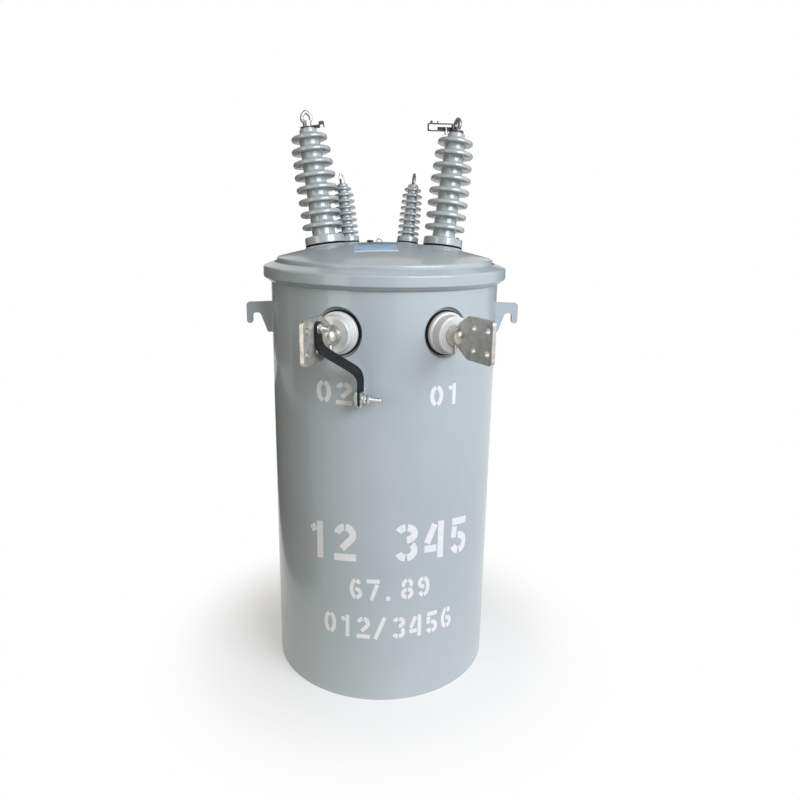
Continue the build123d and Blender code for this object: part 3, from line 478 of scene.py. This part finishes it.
add_clamp_bolt("strap_bolt", lv_side["left"], UP, -PAD_FACE, STRAP_FACE, 0.0088)
add_ground_bolt()
add_clamp_bolt("band_bolt", Vector((1, 0, 0)), Vector((0, 1, 0)), -BAND_EAR, BAND_EAR, 0.009)


# ---------------------------------------------------------------- small screws and plugs
SCREW_PROFILE = [
    (0, 0),
    (0.0024, 0),
    (0.0024, 0.0045),
    (0.0031, 0.006),
    (0.0031, 0.0155),
    (0.0022, 0.0175),
    (0, 0.0182),
]
SCREW_DROP = 0.012  # from the collar's middle to the screw's start inside it
PLUG_PROFILE = [(0, 0), (0.0034, 0), (0.0034, 0.0045), (0.0028, 0.0058), (0, 0.0062)]
PLUG_RISE = 0.0165  # along the bushing, from the middle of its gasket
PLUG_OFFSET = 0.029  # across the bushing, from its axis


def add_collar_screws():
    """Set screw that hangs under each low voltage collar."""
    for side in ("left", "right"):
        near, far = reach(f"lv_collar_{side}", lv_out[side])
        out = near + 0.75 * (far - near)
        top = lv_out[side] * out + UP * (lv_height - SCREW_DROP)
        bm = bmesh.new()
        lathe(bm, axes(top, DOWN, (1, 0, 0)), SCREW_PROFILE, 32)
        add_piece(f"lv_screw_{side}", bm, "bolt_steel")


def add_flange_plug():
    """Small black plug that stands on the right of the right high voltage flange."""
    foot = middle_of("hv_gasket_right")
    along = (middle_of("hv_cap_right") - foot).normalized()
    across = Vector((0, 1, 0)).cross(along)
    place = foot + PLUG_RISE * along + PLUG_OFFSET * across
    bm = bmesh.new()
    lathe(bm, axes(place, along, across), PLUG_PROFILE, 24)
    add_piece("hv_flange_plug", bm, "plug_plastic")


add_collar_screws()
add_flange_plug()


# ---------------------------------------------------------------- welds
WELD = 0.0022  # radius of a bead, and the length of its ripples
BRACKET_WELD = 0.003
WELD_END = 0.001  # from a piece's end to its bead's end


def bead(bm, path, radius):
    """Upright weld bead along a path of points: a tube that swells at each ripple."""
    segments = 10
    last = len(path) - 1
    rings = [[bm.verts.new(path[0])]]
    travelled = 0.0
    for i, point in enumerate(path):
        ahead = path[min(i + 1, last)]
        behind = path[max(i - 1, 0)]
        travelled += (point - behind).length
        matrix = axes(point, ahead - behind, (1, 0.3, 0))
        swell = radius * (0.86 + 0.14 * abs(sin(pi * travelled / radius)))
        if i in (0, last):
            swell *= 0.5
        rings.append(ring(bm, matrix, [swell] * segments, 0))
    rings.append([bm.verts.new(path[-1])])
    join_rings(bm, rings)


def straight(start, end):
    """Points from start to end, close enough together for a bead's ripples."""
    step = 0.0006
    count = max(2, ceil((end - start).length / step))
    return [start.lerp(end, i / count) for i in range(count + 1)]


def add_weld(name, out, side, near, far, foot, top, radius):
    """Upright beads on the wall, at both edges of a piece that stands out from it."""
    bm = bmesh.new()
    for edge in (near, far):
        corner = side * edge + out * sqrt(TANK_RADIUS**2 - edge**2)
        bead(bm, straight(corner + UP * foot, corner + UP * top), radius)
    add_piece(f"weld_{name}", bm, "tank_paint", sharp=60.0)


def add_welds():
    """Beads where the lugs, the ground tab and the brackets meet the tank."""
    along_x, along_y = Vector((1, 0, 0)), Vector((0, 1, 0))
    jobs = [
        ("lifting_lug_left", -along_x, along_y),
        ("lifting_lug_right", along_x, along_y),
        ("ground_tab", lv_out["left"], lv_side["left"]),
    ]
    for name, out, side in jobs:
        low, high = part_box(name)
        near, far = reach(name, side)
        foot, top = low.z + WELD_END, high.z - 2 * WELD_END
        add_weld(name, out, side, near, far, foot, top, WELD)
    for name in ("pole_bracket_lower", "pole_bracket_upper"):
        low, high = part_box(name)
        foot, top = low.z + WELD_END, high.z - WELD_END
        add_weld(name, along_y, along_x, low.x, high.x, foot, top, BRACKET_WELD)


add_welds()


# ---------------------------------------------------------------- blank label on the cover
DOME_RADIUS = 0.740
LABEL_SIDES = (-0.062, 0.015)
LABEL_BACK = -0.057
LABEL_FACES = (0.0001, 0.0005)  # its under and upper face, above the dome


def rim(grid):
    """The outer points of a grid, once round."""
    right = [row[-1] for row in grid[1:-1]]
    left = [row[0] for row in grid[-2:0:-1]]
    return grid[0] + right + grid[-1][::-1] + left


def add_label():
    """Thin blank label that follows the dome in front of its middle."""
    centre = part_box("cover")[1].z - DOME_RADIUS
    left, right = LABEL_SIDES
    columns, rows = 24, 20
    bm = bmesh.new()
    sheets = []
    for rise in LABEL_FACES:
        grid = []
        for j in range(rows + 1):
            y = LABEL_FRONT + (LABEL_BACK - LABEL_FRONT) * j / rows
            row = []
            for i in range(columns + 1):
                x = left + (right - left) * i / columns
                z = centre + sqrt(DOME_RADIUS**2 - x * x - y * y) + rise
                row.append(bm.verts.new((x, y, z)))
            grid.append(row)
        sheets.append(grid)
    for grid in sheets:
        for near, far in zip(grid, grid[1:]):
            for i in range(columns):
                bm.faces.new((near[i], near[i + 1], far[i + 1], far[i]))
    under, over = [rim(grid) for grid in sheets]
    for i in range(len(under)):
        bm.faces.new((under[i - 1], under[i], over[i], over[i - 1]))
    add_piece("cover_label", bm, "label_film")


add_label()


# ---------------------------------------------------------------- stencilled numbers
# Characters are drawn 1 high, as the middle lines of their strokes.
GLYPH_WIDTH = 0.64
GLYPH_GAP = 0.2
STROKE = 0.19
PAINT = 0.0003  # how far the paint stands out from the wall, and reaches into it


def arc(x, y, across, up, start, end):
    """Arc of an ellipse about (x, y), from one angle to another in degrees."""
    count = max(3, ceil(abs(end - start) / 12))
    turns = [radians(start + (end - start) * i / count) for i in range(count + 1)]
    return [(x + across * cos(t), y + up * sin(t)) for t in turns]


WIDE = (GLYPH_WIDTH - STROKE) / 2
TALL = (1 - STROKE) / 2
MID = GLYPH_WIDTH / 2
EDGE = STROKE / 2
GLYPHS = {
    "0": [
        arc(MID, 0.5, WIDE, TALL, 100, 260),
        arc(MID, 0.5, WIDE, TALL, -80, 80),
    ],
    "1": [
        [(0.39, 0), (0.39, 1)],
        [(0.1, 0.76), (0.26, 0.85)],
    ],
    "2": [
        arc(MID, 0.7, WIDE, 0.3 - EDGE, 170, 97),
        arc(MID, 0.7, WIDE, 0.3 - EDGE, 83, -25) + [(0.23, 0.33)],
        [(0, EDGE), (GLYPH_WIDTH, EDGE)],
    ],
    "3": [
        arc(MID, 0.74, WIDE, 0.26 - EDGE, 160, 97),
        arc(MID, 0.74, WIDE, 0.26 - EDGE, 83, -88),
        arc(MID, 0.29, WIDE, 0.29 - EDGE, 48, -83),
        arc(MID, 0.29, WIDE, 0.29 - EDGE, -97, -160),
    ],
    "4": [
        [(0.5, 0), (0.5, 1)],
        [(0.3, 0.93), (0.07, 0.43)],
        [(0, 0.28), (0.37, 0.28)],
    ],
    "5": [
        [(0.05, 1 - EDGE), (0.6, 1 - EDGE)],
        [(0.14, 0.77), (0.12, 0.46)],
        arc(MID, 0.3, WIDE, 0.3 - EDGE, 100, -83),
        arc(MID, 0.3, WIDE, 0.3 - EDGE, -97, -160),
    ],
    "6": [
        arc(MID, 0.5, WIDE, TALL, 97, 263),
        arc(MID, 0.5, WIDE, TALL, 83, 38),
        arc(MID, 0.29, WIDE, 0.29 - EDGE, -83, 100),
    ],
    "7": [
        [(0, 1 - EDGE), (GLYPH_WIDTH, 1 - EDGE)],
        [(0.52, 0.76), (0.24, 0)],
    ],
    "8": [
        arc(MID, 0.74, WIDE * 0.9, 0.26 - EDGE, 97, 222),
        arc(MID, 0.74, WIDE * 0.9, 0.26 - EDGE, -42, 83),
        arc(MID, 0.29, WIDE, 0.29 - EDGE, 97, 263),
        arc(MID, 0.29, WIDE, 0.29 - EDGE, -83, 83),
    ],
    "9": [
        arc(MID, 0.5, WIDE, TALL, -97, -145),
        arc(MID, 0.5, WIDE, TALL, -83, 83),
        arc(MID, 0.71, WIDE, 0.29 - EDGE, 97, 280),
    ],
    "/": [[(0.05, 0), (0.5, 1)]],
    ".": [[(0.12, EDGE), (0.32, EDGE)]],
}
# name, text, angles of its ends in degrees, heights of its foot and top, how far the ends sink
ROWS = [
    ("mark_left", "02", (-36.8, -18.5), (0.578, 0.618), 0.0),
    ("mark_right", "01", (17.6, 33.3), (0.574, 0.612), 0.0),
    ("row_top", "12 345", (-43, 43), (0.288, 0.361), 0.011),
    ("row_middle", "67.89", (-20, 20), (0.211, 0.253), 0.0),
    ("row_low", "012/3456", (-34, 34), (0.131, 0.176), 0.0),
]


def on_wall(angle, height, radius):
    """Point on or near the tank's wall, at an angle from the front."""
    return Vector((radius * sin(angle), -radius * cos(angle), height))


def divide(points, step):
    """The same line with extra points, so that no run is longer than step."""
    line = [points[0]]
    for start, end in zip(points, points[1:]):
        count = max(1, ceil(hypot(end[0] - start[0], end[1] - start[1]) / step))
        for i in range(1, count + 1):
            line.append(tuple(a + (b - a) * i / count for a, b in zip(start, end)))
    return line


def stroke(bm, points, place):
    """Painted stroke along a line on the wall, a thin closed shell with square ends."""
    shells = []
    for lift in (-PAINT, PAINT):
        sides = ([], [])
        for i, (x, y) in enumerate(points):
            ahead = points[min(i + 1, len(points) - 1)]
            behind = points[max(i - 1, 0)]
            dx, dy = ahead[0] - behind[0], ahead[1] - behind[1]
            length = hypot(dx, dy)
            for sign, side in zip((1, -1), sides):
                across = sign * EDGE / length
                side.append(bm.verts.new(place(x - dy * across, y + dx * across, lift)))
        shells.append(sides)
    (a, b), (c, d) = shells
    for i in range(len(points) - 1):
        for low, high in ((a, b), (b, d), (d, c), (c, a)):
            bm.faces.new((low[i], low[i + 1], high[i + 1], high[i]))
    bm.faces.new((a[0], b[0], d[0], c[0]))
    bm.faces.new((c[-1], d[-1], b[-1], a[-1]))


def stencil(name, text, angles, heights, sag):
    """Row of stencilled characters on the tank's front."""
    pace = GLYPH_WIDTH + GLYPH_GAP
    start, end = (radians(angle) for angle in angles)
    foot, top = heights
    turn = (end - start) / (len(text) * pace - GLYPH_GAP)

    def place(x, y, lift):
        angle = start + x * turn
        drop = sag * (angle / end) ** 2
        return on_wall(angle, foot + y * (top - foot) - drop, TANK_RADIUS + lift)

    bm = bmesh.new()
    for index, character in enumerate(text):
        for line in GLYPHS.get(character, ()):
            points = [(x + index * pace, y) for x, y in divide(line, 0.05)]
            stroke(bm, points, place)
    add_piece(name, bm, "stencil_paint")


for row in ROWS:
    stencil(*row)


# ---------------------------------------------------------------- floor, background and light
MIDDLE = (0, 0, 0.5)


def light_path_factor(tree):
    """1 for rays that see the background: from the camera, or off or through the object."""
    path = tree.nodes.new("ShaderNodeLightPath")
    total = path.outputs["Is Camera Ray"]
    for name in ("Is Glossy Ray", "Is Transmission Ray"):
        larger = tree.nodes.new("ShaderNodeMath")
        larger.operation = "MAXIMUM"
        tree.links.new(total, larger.inputs[0])
        tree.links.new(path.outputs[name], larger.inputs[1])
        total = larger.outputs[0]
    return total


def add_blend(tree, share, first, second, output):
    """Shader first, and second where share is 1, as what the material or world shows."""
    blend = tree.nodes.new("ShaderNodeMixShader")
    for socket, value in enumerate((share, first, second)):
        tree.links.new(value, blend.inputs[socket])
    tree.links.new(blend.outputs[0], tree.nodes[output].inputs["Surface"])


def add_stage(name, width, depth):
    """Flat sheet about its own middle that lights the object and is no part of it."""
    w, d = width / 2, depth / 2
    mesh = bpy.data.meshes.new(name)
    mesh.from_pydata([(-w, -d, 0), (w, -d, 0), (w, d, 0), (-w, d, 0)], [], [(0, 1, 2, 3)])
    sheet = bpy.data.objects.new(name, mesh)
    scene.collection.objects.link(sheet)
    return sheet


def aim(obj, place, target):
    """Put a lamp or a sheet at a place, with its face toward a target."""
    obj.location = place
    obj.rotation_euler = (Vector(target) - Vector(place)).to_track_quat("-Z", "Y").to_euler()


def add_floor():
    """Floor that shows white but for the object's shadow, and lights it as a mid grey one would."""
    floor = add_stage("floor", 60.0, 60.0)
    f = Finish("floor", (0.9, 0.9, 0.9), roughness=0.9, specular_ior_level=0.1)
    path = light_path_factor(f.tree)
    distance = f.node("ShaderNodeVectorMath", {0: f.place}, operation="LENGTH").outputs["Value"]
    away = f.ramp(distance, 0.0, 1.0, (0.3, 0.6))
    unseen = f.mix(away, (0.72, 0.66, 0.58), (0.15, 0.15, 0.15))
    f.link("Base Color", f.mix(path, unseen, f.color))
    glow = f.ramp(distance, 0.4, 1.0, (0.21, 0.5))
    share = f.node("ShaderNodeMath", {0: glow, 1: path}, operation="MULTIPLY").outputs[0]
    white = f.node("ShaderNodeEmission", {"Color": (1, 1, 1, 1), "Strength": 1.0}).outputs[0]
    add_blend(f.tree, share, f.shader.outputs[0], white, "Material Output")
    floor.data.materials.append(f.material)


def add_world():
    """White where it is seen, and an even soft light on the object."""
    world = bpy.data.worlds.new("world")
    scene.world = world
    world.use_nodes = True
    tree = world.node_tree
    seen = tree.nodes["Background"]
    seen.inputs["Color"].default_value = (1, 1, 1, 1)
    seen.inputs["Strength"].default_value = 1.0
    soft = tree.nodes.new("ShaderNodeBackground")
    soft.inputs["Color"].default_value = (1.0, 0.93, 0.81, 1)
    soft.inputs["Strength"].default_value = 0.6
    path = light_path_factor(tree)
    add_blend(tree, path, soft.outputs[0], seen.outputs[0], "World Output")


def add_card(name, place, target, size, tone):
    """Unseen matt card that reflects in the object and shades it from one side."""
    card = add_stage(name, *size)
    aim(card, place, target)
    card.visible_camera = False
    card.visible_shadow = False
    f = Finish(name, tone, roughness=1.0, specular_ior_level=0.0)
    card.data.materials.append(f.material)


def add_light(name, place, size, watts, color):
    """Rectangular lamp that faces the object's middle."""
    data = bpy.data.lights.new(name, "AREA")
    data.shape = "RECTANGLE"
    data.size, data.size_y = size
    data.energy = watts
    data.color = color
    light = bpy.data.objects.new(name, data)
    aim(light, place, MIDDLE)
    scene.collection.objects.link(light)


# name, place, where it faces, size, colour
CARDS = [
    ("card_left", (-2.2, -0.3, 0.7), MIDDLE, (2.0, 3.0), (0.18, 0.17, 0.15)),
    ("card_corner", (-2.3, 1.9, 0.7), MIDDLE, (2.2, 3.0), (0.1, 0.1, 0.09)),
    ("card_front", (-0.9, -3.2, 1.0), MIDDLE, (2.6, 2.6), (0.24, 0.235, 0.225)),
    ("card_back_left", (-3.2, 3.0, 1.1), (-3.2, 0, 1.1), (4.0, 3.0), (0.17, 0.17, 0.165)),
    ("card_back_middle", (0.2, 3.0, 1.1), (0.2, 0, 1.1), (1.5, 3.0), (0.17, 0.17, 0.165)),
    ("card_back_right", (3.2, 3.0, 1.1), (3.2, 0, 1.1), (4.0, 3.0), (0.2, 0.2, 0.195)),
    ("card_floor", (-1.3, 1.0, 0.003), (-1.3, 1.0, 1.0), (1.6, 2.6), (0.1, 0.1, 0.09)),
    ("card_top", (0, 0, 3.4), MIDDLE, (4.0, 4.0), (0.15, 0.15, 0.15)),
]

add_floor()
add_world()
for card in CARDS:
    add_card(*card)
add_light("key", (1.7, -2.33, 2.0), (2.2, 1.5), 104.0, (0.86, 0.91, 1.0))
add_light("fill", (-2.1, -1.7, 0.9), (1.6, 1.6), 15.0, (1.0, 0.94, 0.84))
